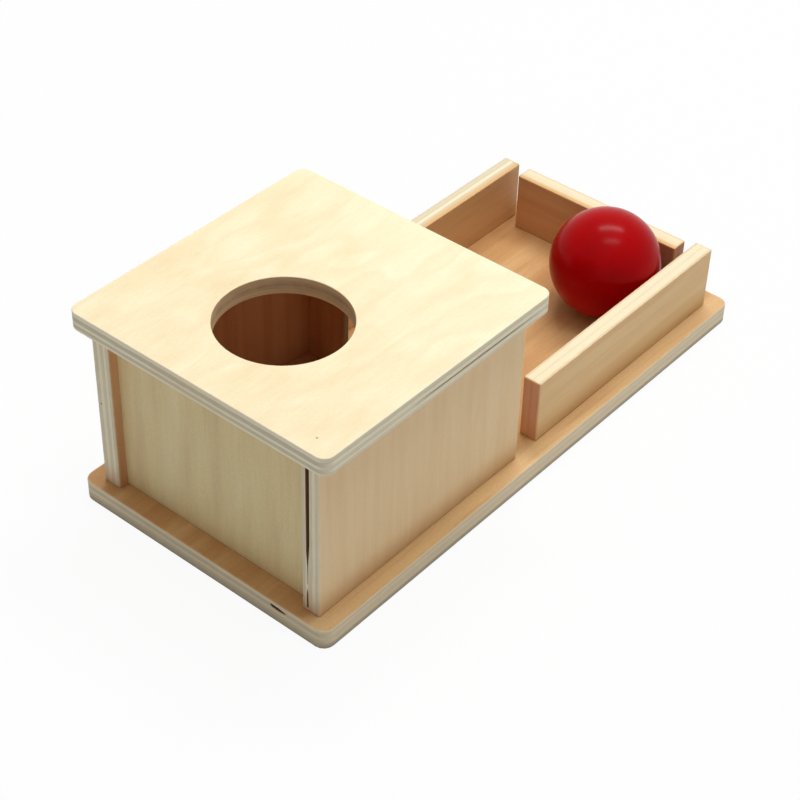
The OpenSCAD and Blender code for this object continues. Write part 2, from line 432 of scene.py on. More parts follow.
def remap(value, low, high, to_low=0.0, to_high=1.0, smooth=False):
    """Value mapped from one range to another and clamped."""
    node = add_node(
        value.tree, "ShaderNodeMapRange",
        {"Value": value, "From Min": low, "From Max": high, "To Min": to_low, "To Max": to_high},
        interpolation_type="SMOOTHSTEP" if smooth else "LINEAR")
    return Value(node.outputs["Result"])


def blend(factor, first, second):
    """Mix of two colours, given as colours or as nodes' values."""
    ends = [end if isinstance(end, Value) else (*end, 1) for end in (first, second)]
    sockets = dict(zip(MIX_SOCKETS, (factor, *ends)))
    node = add_node(tree_of((factor, *ends)), "ShaderNodeMix", sockets, data_type="RGBA")
    return Value(node.outputs[MIX_RESULT])


def shade_ramp(value, stops):
    """Colour ramp with the given places and colours."""
    node = add_node(value.tree, "ShaderNodeValToRGB", {"Fac": value})
    elements = node.color_ramp.elements
    while len(elements) < len(stops):
        elements.new(1)
    for element, (place, colour) in zip(elements, stops):
        element.position = place
        element.color = (*colour, 1)
    return Value(node.outputs["Color"])


def bump(relief, strength, distance):
    """Normal bent by a relief."""
    node = add_node(relief.tree, "ShaderNodeBump", {
        "Strength": strength, "Distance": distance, "Height": relief})
    return Value(node.outputs["Normal"])


def inset(place, middle, half_size):
    """How far a place lies inside each pair of a box's sides."""
    reach = vectors("ABSOLUTE", vectors("SUBTRACT", place, middle))
    return split(vectors("SUBTRACT", half_size, reach))


def open_group(name, places, numbers):
    """New shader node group with vector and number inputs, and its inputs' values."""
    tree = bpy.data.node_groups.new(name, "ShaderNodeTree")
    for kind, labels in (("NodeSocketVector", places), ("NodeSocketFloat", numbers)):
        for label in labels:
            tree.interface.new_socket(name=label, in_out="INPUT", socket_type=kind)
    return tree, values_of(tree.nodes.new("NodeGroupInput"))


def close_group(tree, results):
    """Adds a node group's number outputs and fills them."""
    for label in results:
        tree.interface.new_socket(name=label, in_out="OUTPUT", socket_type="NodeSocketFloat")
    fill(tree.nodes.new("NodeGroupOutput"), results)


def place_group(tree, name, sockets):
    """Outputs of a node group placed in a material."""
    return values_of(add_node(tree, "ShaderNodeGroup", sockets, node_tree=bpy.data.node_groups[name]))


# Shared effects


def make_grain_group():
    """Wood grain along X: flame figure, broad clouds, streaks, fine fibres and short pores."""
    tree, source = open_group("wood grain", ("Place",), ("Flame Width", "Stretch"))
    place = source["Place"]
    per_metre = 1.0 / source["Flame Width"]
    squeeze = add_node(tree, "ShaderNodeCombineXYZ", {"X": source["Stretch"], "Y": 1.0, "Z": 1.0})
    drawn = vectors("MULTIPLY", place, Value(squeeze.outputs["Vector"]))
    contour = maths("FRACT", noise(drawn, per_metre, 2.0, 0.45) * 6.0)
    drop = remap(contour, 0.7, 1.0, 1.0, 0.0, smooth=True)
    dashes = noise(stretched(place, 0.09), 2300.0, 1.0, 0.5)
    close_group(tree, {
        "Flame": maths("POWER", contour, 1.4) * drop,
        "Cloud": noise(drawn, per_metre * 2.4, 3.0, 0.55),
        "Streak": noise(stretched(place, 0.04), 300.0, 4.0, 0.6),
        "Mottle": noise(place, 650.0, 2.0, 0.6),
        "Fibre": noise(stretched(place, 0.025), 1500.0, 2.0, 0.6),
        "Pores": remap(dashes, 0.66, 0.76),
    })


def make_layers_group():
    """Plies through a board's thickness: which run across, their seams and how dark they look end on."""
    tree, source = open_group(
        "ply layers", ("Place", "Facing"), ("Thickness", "Plies", "Lean", "Swell", "Side Shade"))
    share = split(source["Place"])["Z"] / source["Thickness"]
    deep = maths("GREATER_THAN", share, 0.5)
    back = remap(share, 0.55, 0.9, smooth=True)
    wander = noise(source["Place"], 45.0, 2.0, 0.6)
    warped = share + (wander - 0.5) * 0.07
    bow = maths("SINE", warped * math.pi)
    wave = maths("SINE", warped * (4 * math.pi))
    warped = warped - bow * source["Lean"] + wave * source["Swell"]
    height = maths("MAXIMUM", maths("MINIMUM", warped, 0.999) * source["Plies"], 0.001)
    index = maths("FLOOR", height)
    cross = maths("MODULO", index, 2.0)
    nearest = maths("ROUND", height)
    off = maths("ABSOLUTE", height - nearest)
    inner = maths("GREATER_THAN", nearest, 0.5) * maths("LESS_THAN", nearest, source["Plies"] - 0.5)
    seam = remap(off, 0.02, 0.12, 1.0, 0.0) * inner
    facing = split(vectors("ABSOLUTE", source["Facing"]))
    athwart = (1.0 - cross) * (facing["Y"] * source["Side Shade"])
    edge = maths("ADD", facing["X"], facing["Y"], clamp=True)
    tint = add_node(tree, "ShaderNodeTexWhiteNoise", {"W": index}, noise_dimensions="1D")
    close_group(tree, {
        "Deep": deep,
        "Back": back,
        "Seam": seam * edge,
        "Shade": maths("ADD", cross * facing["X"], athwart, clamp=True),
        "Tint": Value(tint.outputs["Value"]),
        "Edge": edge,
        "End": facing["X"],
    })


def make_arris_wear_sheen_group():
    """Arrises of a board, where two of its faces meet: partly wear, partly a painted highlight."""
    tree, source = open_group("rubbed arris", ("Place", "Middle", "Half Size"), ("Width",))
    sides = inset(source["Place"], source["Middle"], source["Half Size"])
    least = maths("MINIMUM", sides["X"], sides["Y"])
    most = maths("MAXIMUM", sides["X"], sides["Y"])
    second = maths("MAXIMUM", least, maths("MINIMUM", most, sides["Z"]))
    near = remap(second / source["Width"], 0.2, 1.0, 1.0, 0.0, smooth=True)
    rub = noise(source["Place"], 180.0, 3.0, 0.6)
    close_group(tree, {"Arris": near * remap(rub, 0.3, 0.6, 0.35, 1.0)})


# Materials


def new_material(name):
    """Material with its shader and its places on the object."""
    material = bpy.data.materials.new(name)
    material.use_nodes = True
    tree = material.node_tree
    return material, tree.nodes["Principled BSDF"], values_of(add_node(tree, "ShaderNodeTexCoord"))


def sheet_of(node, grain, inward):
    """Sheet of a board that lies along the axes."""
    low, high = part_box(node)
    start = low if sum(inward) > 0 else high
    return Sheet(low, high, grain, inward, start, abs((high - low).dot(inward)))


def tones_of(kind):
    """Pale, main and warm tones of one kind of veneer."""
    veneer = bpy.context.scene.box_veneer
    return [getattr(veneer, f"{kind}_{part}") for part in VENEER_PARTS]


def board_axes(coordinates, sheet, shift):
    """Place on a board along its grain, across it and in from its show face, and its faces' directions."""
    turn = Matrix((sheet.grain, sheet.inward.cross(sheet.grain), sheet.inward))
    start = Vector((*shift, 0)) - turn @ sheet.start
    angles = turn.to_euler()
    place = mapped(coordinates["Object"], Location=start, Rotation=angles)
    return place, mapped(coordinates["Normal"], "VECTOR", Rotation=angles)


def veneer_colour(grain, tones, look, sap):
    """Face veneer: clouds of paler and warmer wood, sapwood, flame figure, streaks, fibres and pores."""
    pale, body, warm = tones
    cloud = remap(grain["Cloud"], 0.25, 0.75, 0.5 - look.cloud / 2, 0.5 + look.cloud / 2)
    colour = shade_ramp(cloud, ((0.2, pale), (0.5, body), (0.8, warm)))
    colour = blend(sap, colour, pale)
    colour = blend(grain["Flame"] * look.flame, colour, warm)
    colour = blend(remap(grain["Streak"], 0.5, 0.75, 0.0, look.streak), colour, warm)
    fine = remap(grain["Fibre"], 0.25, 0.75, 0.97, 1.025) + grain["Pores"] * -0.05
    return dim(colour, fine * remap(grain["Mottle"], 0.3, 0.7, 1 - look.mottle, 1 + look.mottle))


def sapwood(position, start, stop):
    """Mask that grows from one place of a board to another."""
    way = stop - start
    away = vectors("SUBTRACT", position, start)
    reach = vectors("DOT_PRODUCT", away, way / way.length_squared, output="Value")
    ragged = (noise(position, 30.0, 3.0) - 0.5) * 0.8
    return remap(reach + ragged, 0.0, 1.0, smooth=True)


def spot(position, place, radius, strength):
    """Mask of a soft round spot."""
    return remap(vectors("DISTANCE", position, place, output="Value"), 0.5 * radius, radius, strength, 0.0)


def flaw_shade(position, low, high):
    """Mask of the painted shade inside a flaw: grows from the sides of a box to a skin's depth inside it."""
    sides = inset(position, (low + high) / 2, (high - low) / 2)
    least = maths("MINIMUM", maths("MINIMUM", sides["X"], sides["Y"]), sides["Z"])
    return remap(least, 0.0, FLAW_SKIN)


def edge_plies(veneer, look, body, layers, face, across):
    """Plies at a board's edges, with reddened ends that are partly end grain and partly painted warm bounce
    light, a warm lip by the back face and darkened edges.
    """
    light = Vector(veneer.edge_light).lerp(Vector(body), look.edge_tone)
    dark = light.lerp(Vector(veneer.edge_dark), look.contrast)
    light_ply = dim(light, remap(across["Fibre"], 0.25, 0.75, 0.95, 1.03))
    dark_fine = remap(face["Fibre"], 0.25, 0.75, 0.94, 1.04) * remap(layers["Tint"], 0.0, 1.0, 0.96, 1.02)
    colour = blend(layers["Shade"], light_ply, dim(dark, dark_fine))
    # Reddened ends: partly end grain, partly painted warm bounce light
    reddening_and_bounce = remap(layers["Shade"], 0.0, 1.0, look.end_red, 0.85 * look.end_red)
    colour = blend(layers["End"] * reddening_and_bounce, colour, veneer.end_grain_bounce_red)
    colour = blend(layers["Back"] * look.lip, colour, veneer.tray_warm)
    return blend(look.scorch, colour, veneer.scorch)


def bored_wall(veneer, colour, position, patchy, centre, radius):
    """Edge of a board with painted warm light on its round hole's wall, and a dark core in the wall's
    middle.
    """
    # Painted warm light on the hole's wall, with the dark core in its middle
    hole_light_mask = spot(position, centre, HOLE_LIGHT_REACH * radius, HOLE_LIGHT_SHARE)
    off = maths("ABSOLUTE", split(position)["Z"] - centre.z)
    core = remap(off, *CORE_BAND, 1.0, 0.0, smooth=True) * remap(patchy, 0.3, 0.6, 0.1, 0.45)
    return blend(core * hole_light_mask, blend(hole_light_mask, colour, veneer.hole_wall_light), veneer.scorch)


def plywood(name, sheet, show, back, shift, look=Look(), knots=(), flaws=(), bore=None):
    """Lacquered plywood: figured veneers on both faces, plies and seams at the edges, arrises partly worn
    and partly with a painted highlight, painted shade at the foot and in the flaws.
    """
    shape, veneer = settings(bpy.context)[:2]
    low, high = sheet.low, sheet.high
    size = high - low
    material, shader, coordinates = new_material(name)
    tree, position = material.node_tree, coordinates["Object"]
    place, facing = board_axes(coordinates, sheet, shift)
    layers = place_group(tree, "ply layers", {
        "Place": place, "Facing": facing, "Thickness": sheet.thickness, "Plies": look.plies,
        "Lean": look.lean, "Swell": look.swell, "Side Shade": look.side_shade})
    figure = {"Flame Width": look.flame_width, "Stretch": look.stretch}
    face = place_group(tree, "wood grain", {"Place": place, **figure})
    turned = mapped(place, Rotation=(0, 0, math.pi / 2), Location=CROSS_GRAIN_SHIFT)
    across = place_group(tree, "wood grain", {"Place": turned, **figure})
    arris_wear_and_sheen = place_group(tree, "rubbed arris", {
        "Place": position, "Middle": (low + high) / 2, "Half Size": size / 2, "Width": ARRIS_WIDTH})

    sap = 0.0
    if look.sapwood is not None:
        sap = sapwood(position, *(low + Vector(share) * size for share in look.sapwood))
    show_colour, back_colour = (veneer_colour(face, tones, look, sap) for tones in (show, back))
    patchy = noise(place, 130.0, 3.0, 0.65)
    edges = edge_plies(veneer, look, show[1], layers, face, across)
    if bore is not None:
        edges = bored_wall(veneer, edges, position, patchy, *bore)
    colour = blend(layers["Deep"], show_colour, back_colour)
    colour = blend(remap(layers["Edge"], 0.35, 0.8), colour, edges)
    seam = layers["Seam"] * (remap(patchy, 0.42, 0.68, 0.1, 0.6) * look.contrast)
    colour = blend(seam, colour, veneer.seam)
    # Arrises: partly wear, partly a painted highlight
    arris_tone = veneer.tray_warm if look.end_red else veneer.edge_light
    colour = blend(arris_wear_and_sheen["Arris"] * look.rub, colour, arris_tone)
    # Painted shade at the foot: warm on the upright boards, dark along the base board's lower edge
    above = split(position)["Z"]
    foot = remap(above, low.z, low.z + look.foot_height, look.foot, 0.0, smooth=True)
    if low.z < SAME:
        colour = blend(foot * layers["Edge"], colour, veneer.base_edge_shade)
    else:
        colour = blend(foot, colour, veneer.foot)
    for share in knots:
        knot = spot(position, low + Vector(share) * size, shape.knot_radius, KNOT_SHARE)
        colour = blend(knot, colour, veneer.knot)
    # Painted shade inside the flaws
    for corners in flaws:
        colour = blend(flaw_shade(position, *corners), colour, veneer.flaw_shade)

    fill(shader, {
        "Base Color": colour,
        "Roughness": remap(face["Streak"], 0.3, 0.7, 0.42, 0.52) + layers["Edge"] * 0.15,
        "Normal": bump(face["Fibre"] * 0.5 + face["Pores"] * -0.5 - seam * 1.2, 0.3, 0.0001),
        "Specular IOR Level": 0.25,
    })
    return material


def ball_paint(ball, centre):
    """Gloss enamel over turned wood: slight orange peel and the lathe's faint rings."""
    material, shader, coordinates = new_material("red enamel")
    centred = vectors("SUBTRACT", coordinates["Object"], centre)
    cloud = noise(centred, 60.0, 3.0, 0.55)
    peel = noise(centred, 420.0, 2.0, 0.5)
    rings = noise(vectors("MULTIPLY", centred, (1, 0.03, 0.03)), 900.0, 2.0, 0.5)
    fill(shader, {
        "Base Color": blend(remap(cloud, 0.35, 0.65), ball.paint, ball.paint_deep),
        "Roughness": remap(noise(centred, 220.0, 3.0, 0.6), 0.3, 0.7, 0.19, 0.24),
        "Normal": bump(peel * 0.6 + rings * 0.25, 0.12, 0.00015),
        "Specular IOR Level": 0.06,
    })
    return material


def dowel_wood(veneer):
    """Plain turned beech with short ray flecks, its grain along the dowel."""
    material, shader, coordinates = new_material("beech dowel")
    upright = mapped(coordinates["Object"], Rotation=(0, math.pi / 2, 0))
    grain = place_group(material.node_tree, "wood grain", {
        "Place": upright, "Flame Width": 0.004, "Stretch": 0.1})
    flecks = maths("ADD", grain["Pores"] * 0.7, remap(grain["Streak"], 0.45, 0.8, 0.0, 0.4), clamp=True)
    colour = blend(flecks, veneer.beech, veneer.beech_fleck)
    fill(shader, {
        "Base Color": dim(colour, remap(grain["Fibre"], 0.2, 0.8, 0.9, 1.06)),
        "Roughness": remap(grain["Fibre"], 0.2, 0.8, 0.55, 0.7),
        "Normal": bump(grain["Fibre"], 0.4, 0.0001),
    })
    return material


def screw_zinc(veneer):
    """Zinc plated steel with dull patches and fine turning marks."""
    material, shader, coordinates = new_material("zinc screw")
    dull = noise(coordinates["Object"], 900.0, 4.0, 0.6)
    marks = noise(vectors("MULTIPLY", coordinates["Object"], (1, 1, 12)), 700.0, 2.0, 0.5)
    fill(shader, {
        "Base Color": blend(remap(dull, 0.4, 0.65), veneer.zinc, veneer.zinc_dull),
        "Roughness": remap(dull, 0.35, 0.7, 0.28, 0.5),
        "Normal": bump(marks, 0.3, 0.00005),
        "Metallic": 1,
    })
    return material


# Mesh helpers


def add_object(name, data):
    """New object with its data, linked to the scene."""
    made = bpy.data.objects.new(name, data)
    bpy.context.scene.collection.objects.link(made)
    return made


def mesh_from(bm, name, material):
    """Mesh data from a finished build, with its material."""
    mesh = bpy.data.meshes.new(name)
    bm.to_mesh(mesh)
    bm.free()
    mesh.materials.append(material)
    return mesh


def finish_piece(bm, name, body, slot, material, *nodes):
    """Object made from a build, riding on its body and standing for its solids."""
    bmesh.ops.recalc_face_normals(bm, faces=bm.faces)
    mesh = mesh_from(bm, name, material)
    mesh.polygons.foreach_set("use_smooth", [True] * len(mesh.polygons))
    mesh.set_sharp_from_angle(angle=SHARP_ANGLE)
    piece = add_object(name, mesh)
    normals = piece.modifiers.new("even faces", "WEIGHTED_NORMAL")
    normals.keep_sharp = True
    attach(piece, body)
    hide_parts(*nodes)


def dress_node(node, material):
    """Gives a solid's object its material."""
    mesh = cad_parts[node].data
    mesh.materials.clear()
    mesh.materials.append(material)


def round_edges(bm, edges, radius):
    """Rounds the edges with the shape settings' number of steps."""
    bmesh.ops.bevel(
        bm, geom=edges, offset=radius, offset_type="OFFSET", affect="EDGES",
        segments=bpy.context.scene.box_shape.round_steps, profile=0.5, material=-1)


def level_edges(bm, heights):
    """Edges that lie at one of the heights."""
    def lies(edge, height):
        return all(abs(vert.co.z - height) < SAME for vert in edge.verts)
    return [edge for edge in bm.edges if any(lies(edge, height) for height in heights)]


def standing_edges(bm):
    """Edges that run straight up."""
    return [edge for edge in bm.edges if (edge.verts[0].co - edge.verts[1].co).xy.length < SAME]


def block(low, high):
    """Plain block between two corners."""
    bm = bmesh.new()
    bmesh.ops.create_cube(bm, size=1)
    bmesh.ops.scale(bm, vec=high - low, verts=bm.verts)
    bmesh.ops.translate(bm, vec=(low + high) / 2, verts=bm.verts)
    return bm


def eased_board(box, corner, rim):
    """Board with round standing edges and eased rims."""
    low, high = box
    bm = block(low, high)
    round_edges(bm, standing_edges(bm), corner)
    round_edges(bm, level_edges(bm, (low.z, high.z)), rim)
    return bm


def face_towards(bm, direction):
    """Largest flat face that looks in a direction."""
    bm.normal_update()
    looking = [face for face in bm.faces if face.normal.dot(direction) > 1 - SAME]
    return max(looking, key=lambda face: face.calc_area())


def open_face(bm, face, loops):
    """Fills a face again round the loops of edges that lie in it."""
    rim = list(face.edges)
    normal = face.normal.copy()
    bmesh.ops.delete(bm, geom=[face], context="FACES_ONLY")
    held = [edge for loop in loops for edge in loop]
    bmesh.ops.triangle_fill(bm, use_beauty=True, use_dissolve=False, edges=rim + held, normal=normal)


def ring(bm, centre, radius, segments):
    """Level circle of edges."""
    made = bmesh.ops.create_circle(
        bm, cap_ends=False, radius=radius, segments=segments, matrix=Matrix.Translation(centre))
    return list({edge for vert in made["verts"] for edge in vert.link_edges})


def loop_of(bm, points):
    """Closed loop of edges through the points."""
    verts = [bm.verts.new(point) for point in points]
    return [bm.edges.new((vert, verts[index - 1])) for index, vert in enumerate(verts)]


def extrude_loop(bm, loop, move, about=None, factor=1.0):
    """New loop pulled out of a loop of edges, moved, and scaled in plan about a point."""
    made = bmesh.ops.extrude_edge_only(bm, edges=loop)["geom"]
    verts = [item for item in made if isinstance(item, bmesh.types.BMVert)]
    if about is not None:
        space = Matrix.Translation(-about)
        bmesh.ops.scale(bm, vec=(factor, factor, 1), space=space, verts=verts)
    bmesh.ops.translate(bm, vec=move, verts=verts)
    return [item for item in made if isinstance(item, bmesh.types.BMEdge)]


def prism(bm, outline, path):
    """Solid pulled out of a flat outline along a path."""
    face = bm.faces.new([bm.verts.new(point) for point in outline])
    made = bmesh.ops.extrude_face_region(bm, geom=[face])["geom"]
    moved = [item for item in made if isinstance(item, bmesh.types.BMVert)]
    bmesh.ops.translate(bm, vec=path, verts=moved)


# Pieces


def finish_board(bm, node, slot, grain, inward, *looks, **marks):
    """Board's object in its own plywood, named after its solid."""
    material = plywood(node + " plywood", sheet_of(node, grain, inward), *looks, **marks)
    finish_piece(bm, node + "_ply", "box", slot, material, node)


def flaw_outline(corner, along, up, shares):
    """Outline of a flaw from shares of the two sides of its face."""
    return [corner + along * first + up * second for first, second in shares]


def cut_flaws(bm, direction, *flaws):
    """Cuts open flaws, each an outline and a depth, into the largest face that looks in a direction.

    Returns the boxes of their insides, wider than the flaws by a margin but not past the face."""
    loops = [(loop_of(bm, outline), depth) for outline, depth in flaws]
    open_face(bm, face_towards(bm, direction), [loop for loop, depth in loops])
    for loop, depth in loops:
        floor = extrude_loop(bm, loop, direction * -depth)
        bmesh.ops.edgeloop_fill(bm, edges=floor)
    margin = bpy.context.scene.box_shape.flaw_margin
    wide = Vector([0 if part else margin for part in direction])
    boxes = []
    for outline, depth in flaws:
        points = outline + [point - direction * (depth + margin) for point in outline]
        boxes.append((Vector(map(min, zip(*points))) - wide, Vector(map(max, zip(*points))) + wide))
    return boxes


def screw_centres(node, count):
    """Radius, underside and centres of a row of screws under the base board, from the row's box."""
    low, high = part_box(node)
    size = high - low
    axis = 0 if size.x > size.y else 1
    radius = (size.y if axis == 0 else size.x) / 2
    first = (low + high) / 2
    first[axis] = low[axis] + radius
    step = Vector((0, 0, 0))
    step[axis] = (size[axis] - 2 * radius) / (count - 1)
    return radius, low.z, [first + step * index for index in range(count)]


class BOX_OT_effects(Operator):
    """Build the shared grain, ply and wear effects"""
    bl_idname = "permanence_box.effects"
    bl_label = "Shared effects"

    def execute(self, context):
        make_grain_group()
        make_layers_group()
        make_arris_wear_sheen_group()
        return {"FINISHED"}


class BOX_OT_base(Operator):
    """Model the base board with its countersunk screw holes"""
    bl_idname = "permanence_box.base"
    bl_label = "Base board"

    def execute(self, context):
        shape = context.scene.box_shape
        low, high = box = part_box("base_board")
        bm = eased_board(box, shape.base_corner, shape.rim_ease)
        void = flaw_outline(low, Y * (high.y - low.y), Z * (high.z - low.z), VOID_SHARES)
        flaws = cut_flaws(bm, -X, (void, shape.void_depth))
        loops = []
        for node, count in FASTENER_ROWS.items():
            radius, sink, centres = screw_centres(node, count)
            for centre in centres:
                foot = Vector((centre.x, centre.y, low.z))
                wide = radius + shape.screw_fit
                loops.append((ring(bm, foot, wide, SINK_SIDES), foot, sink - low.z))
        open_face(bm, face_towards(bm, -Z), [loop[0] for loop in loops])
        for loop, foot, sink in loops:
            wall = extrude_loop(bm, loop, (0, 0, sink))
            cone = extrude_loop(bm, wall, (0, 0, shape.countersink), foot, SINK_TAPER)
            bmesh.ops.edgeloop_fill(bm, edges=cone)
        tones = tones_of("base")
        # Its foot is painted shade along the base board's lower edge
        look = Look(
            lean=-0.06, cloud=0.6, streak=0.5, mottle=0.04, contrast=0.55, side_shade=0.55, edge_tone=0.3,
            foot=0.6, foot_height=0.0045, rub=0.12, sapwood=((0.5, 0.10, 1), (0.5, 0.05, 1)))
        finish_board(bm, "base_board", "base_ply", X, -Z, tones, tones, (0.4, 0.2), look, flaws=flaws)
        return {"FINISHED"}


class BOX_OT_sides(Operator):
    """Model the box's two side boards with the grooves that hold the panels"""
    bl_idname = "permanence_box.sides"
    bl_label = "Box side boards"

    def execute(self, context):
        shape = context.scene.box_shape
        # Its foot is painted warm shade at the foot of the boards
        look = Look(
            flame=0.1, flame_width=0.02, stretch=0.06, cloud=0.45, streak=0.25, contrast=0.45,
            edge_tone=0.12, foot=0.5)
        boards = (
            ("box_side_near", Y, (0.1, 0.9), 0.0, ()),
            ("box_side_far", -Y, (0.6, 0.3), 0.12, FAR_WALL_KNOT_SHARES),
        )
        for node, inward, shift, lean, knots in boards:
            low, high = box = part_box(node)
            bm = self.grooved_board(box, inward.y, shape)
            flaws = ()
            if node == "box_side_near":
                corner = Vector((low.x, high.y, low.z))
                sides = Y * (low.y - high.y), Z * (high.z - low.z)
                crack = flaw_outline(corner, *sides, CRACK_SHARES)
                foot_crack = flaw_outline(corner, *sides, FOOT_CRACK_SHARES)
                flaws = cut_flaws(
                    bm, -X, (crack, shape.crack_depth), (foot_crack, shape.foot_crack_depth))
            finish_board(
                bm, node, "side_ply", Z, inward, tones_of("side"), tones_of("inner"), shift,
                look._replace(lean=lean), knots, flaws)
        return {"FINISHED"}

    def grooved_board(self, box, inward, shape):
        """Side board from its plan, with two grooves in its inner face."""
        low, high = box
        outer, inner = (low.y, high.y) if inward > 0 else (high.y, low.y)
        panels = [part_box(node) for node in ("back_panel", "front_panel")]
        reach = max(abs(panels[0][0].y), abs(panels[0][1].y)) + shape.groove_play
        bottom = -inward * reach
        plan = [(low.x, inner), (low.x, outer), (high.x, outer), (high.x, inner)]
        for panel_low, panel_high in panels:
            start, stop = panel_high.x + shape.groove_play, panel_low.x - shape.groove_play
            plan += [(start, inner), (start, bottom), (stop, bottom), (stop, inner)]
        bm = bmesh.new()
        prism(bm, [(x, y, low.z) for x, y in plan], (0, 0, high.z - low.z))
        corners = [
            edge for edge in standing_edges(bm)
            if min(abs(edge.verts[0].co.x - low.x), abs(edge.verts[0].co.x - high.x)) < SAME]
        round_edges(bm, corners, shape.standing_ease)
        rims = [
            edge for edge in level_edges(bm, (low.z, high.z))
            if not self.in_groove(edge, panels, inner, inward)]
        round_edges(bm, rims, shape.rim_ease)
        return bm

    def in_groove(self, edge, panels, inner, inward):
        """Whether an edge lies in one of the grooves."""
        middle = (edge.verts[0].co + edge.verts[1].co) / 2
        deep = (inner - middle.y) * inward > SAME
        margin = panels[0][1].x - panels[0][0].x
        beside = any(low.x - margin < middle.x < high.x + margin for low, high in panels)
        return deep and beside and abs(edge.verts[0].co.x - edge.verts[1].co.x) < 2 * margin


class BOX_OT_panels(Operator):
    """Model the thin front panel and the back panel with its arched doorway"""
    bl_idname = "permanence_box.panels"
    bl_label = "Panels"

    def execute(self, context):
        shape = context.scene.box_shape
        look = Look(plies=3, flame=0.2, flame_width=0.03, stretch=0.12, cloud=0.7, streak=0.2, mottle=0.035)
        bm = block(*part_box("front_panel"))
        round_edges(bm, list(bm.edges), shape.panel_ease)
        tones = tones_of("panel"), tones_of("inner")
        finish_board(bm, "front_panel", "panel_ply", Z, X, *tones, (0.25, 0.5), look)

        bm = self.doorway_panel(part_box("back_panel"), shape)
        # Darker edges on the back panel, its doorway's included
        look = look._replace(scorch=0.85)
        finish_board(bm, "back_panel", "panel_ply", Z, -X, *tones, (0.85, 0.15), look)
        return {"FINISHED"}

    def doorway_panel(self, box, shape):
        """Panel from its outline, with the doorway's arch."""
        low, high = box
        radius = shape.door_width / 2
        spring = high.z - shape.door_head - radius
        steps = ARCH_SIDES * shape.round_steps
        arch = [
            (-radius * math.cos(math.pi * step / steps), spring + radius * math.sin(math.pi * step / steps))
            for step in range(steps + 1)]
        outline = [(low.y, high.z), (low.y, low.z), (-radius, low.z), *arch]
        outline += [(radius, low.z), (high.y, low.z), (high.y, high.z)]
        bm = bmesh.new()
        prism(bm, [(low.x, y, z) for y, z in outline], (high.x - low.x, 0, 0))
        rims = [edge for edge in bm.edges if abs(edge.verts[0].co.x - edge.verts[1].co.x) < SAME]
        round_edges(bm, rims, shape.panel_ease)
        return bm


class BOX_OT_lid(Operator):
    """Model the lid with its eased ball hole"""
    bl_idname = "permanence_box.lid"
    bl_label = "Lid"

    def execute(self, context):
        shape = context.scene.box_shape
        low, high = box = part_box("lid")
        bm = eased_board(box, shape.lid_corner, shape.lid_ease)
        slit = flaw_outline(low, X * (high.x - low.x), Z * (high.z - low.z), SLIT_SHARES)
        flaws = cut_flaws(bm, -Y, (slit, shape.slit_depth))
        radius = shape.hole_diameter / 2
        centre = Vector((low.x + shape.hole_setback, 0, 0))
        mouths = []
        for direction, height in ((Z, high.z), (-Z, low.z)):
            place = Vector((centre.x, centre.y, height))
            loop = ring(bm, place, radius + shape.hole_ease, HOLE_SIDES)
            open_face(bm, face_towards(bm, direction), [loop])
            mouths.append(self.ease_mouth(bm, loop, place, -direction, radius, shape))
        bmesh.ops.bridge_loops(bm, edges=mouths[0] + mouths[1])
        tones = tones_of("lid")
        look = Look(
            lean=0.08, flame=0.55, flame_width=0.034, stretch=0.45, streak=0.15, mottle=0.025,
            contrast=0.7, side_shade=0.6, sapwood=((0.4, 0.5, 1), (1.2, 0.1, 1)))
        bore = Vector((centre.x, centre.y, (low.z + high.z) / 2)), radius
        finish_board(
            bm, "lid", "lid_ply", X, -Z, tones, tones, (0.3, 0.65), look, LID_KNOT_SHARES, flaws, bore)
        return {"FINISHED"}

    def ease_mouth(self, bm, loop, place, inward, radius, shape):
        """Rounds the hole's rim from the face into the hole."""
        wide, depth = radius + shape.hole_ease, 0.0
        for step in range(1, shape.round_steps + 1):
            angle = math.pi / 2 * step / shape.round_steps
            narrow = radius + shape.hole_ease * (1 - math.sin(angle))
            deeper = shape.hole_ease * (1 - math.cos(angle))
            loop = extrude_loop(bm, loop, inward * (deeper - depth), place, narrow / wide)
            wide, depth = narrow, deeper
        return loop


class BOX_OT_tray(Operator):
    """Model the tray's two side boards and its end board"""
    bl_idname = "permanence_box.tray"
    bl_label = "Tray boards"

    def execute(self, context):
        shape = context.scene.box_shape
        # Reddish ends, partly painted warm bounce light, and a painted warm shade at the foot
        look = Look(
            swell=0.06, flame=0.15, flame_width=0.02, stretch=0.08, streak=0.3, end_red=0.85, foot=0.3,
            rub=0.5)
        base, inner = tones_of("base"), tones_of("inner")
        boards = (
            ("tray_side_near", X, Y, (0.2, 0.4), inner, {"contrast": 0.25, "edge_tone": 0.3}),
            ("tray_side_far", X, -Y, (0.7, 0.8), (base[0], base[0], base[1]),
             {"contrast": 0.5, "plies": 3, "edge_tone": 0.25, "lip": 0.95}),
            ("tray_end", Y, -X, (0.5, 0.1), inner, {"contrast": 0.2, "edge_tone": 0.35, "lip": 1.0}),
        )
        for node, grain, inward, shift, back, own in boards:
            bm = eased_board(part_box(node), shape.standing_ease, shape.rim_ease)
            finish_board(
                bm, node, "side_ply", grain, inward, tones_of("tray"), back, shift, look._replace(**own))
        return {"FINISHED"}


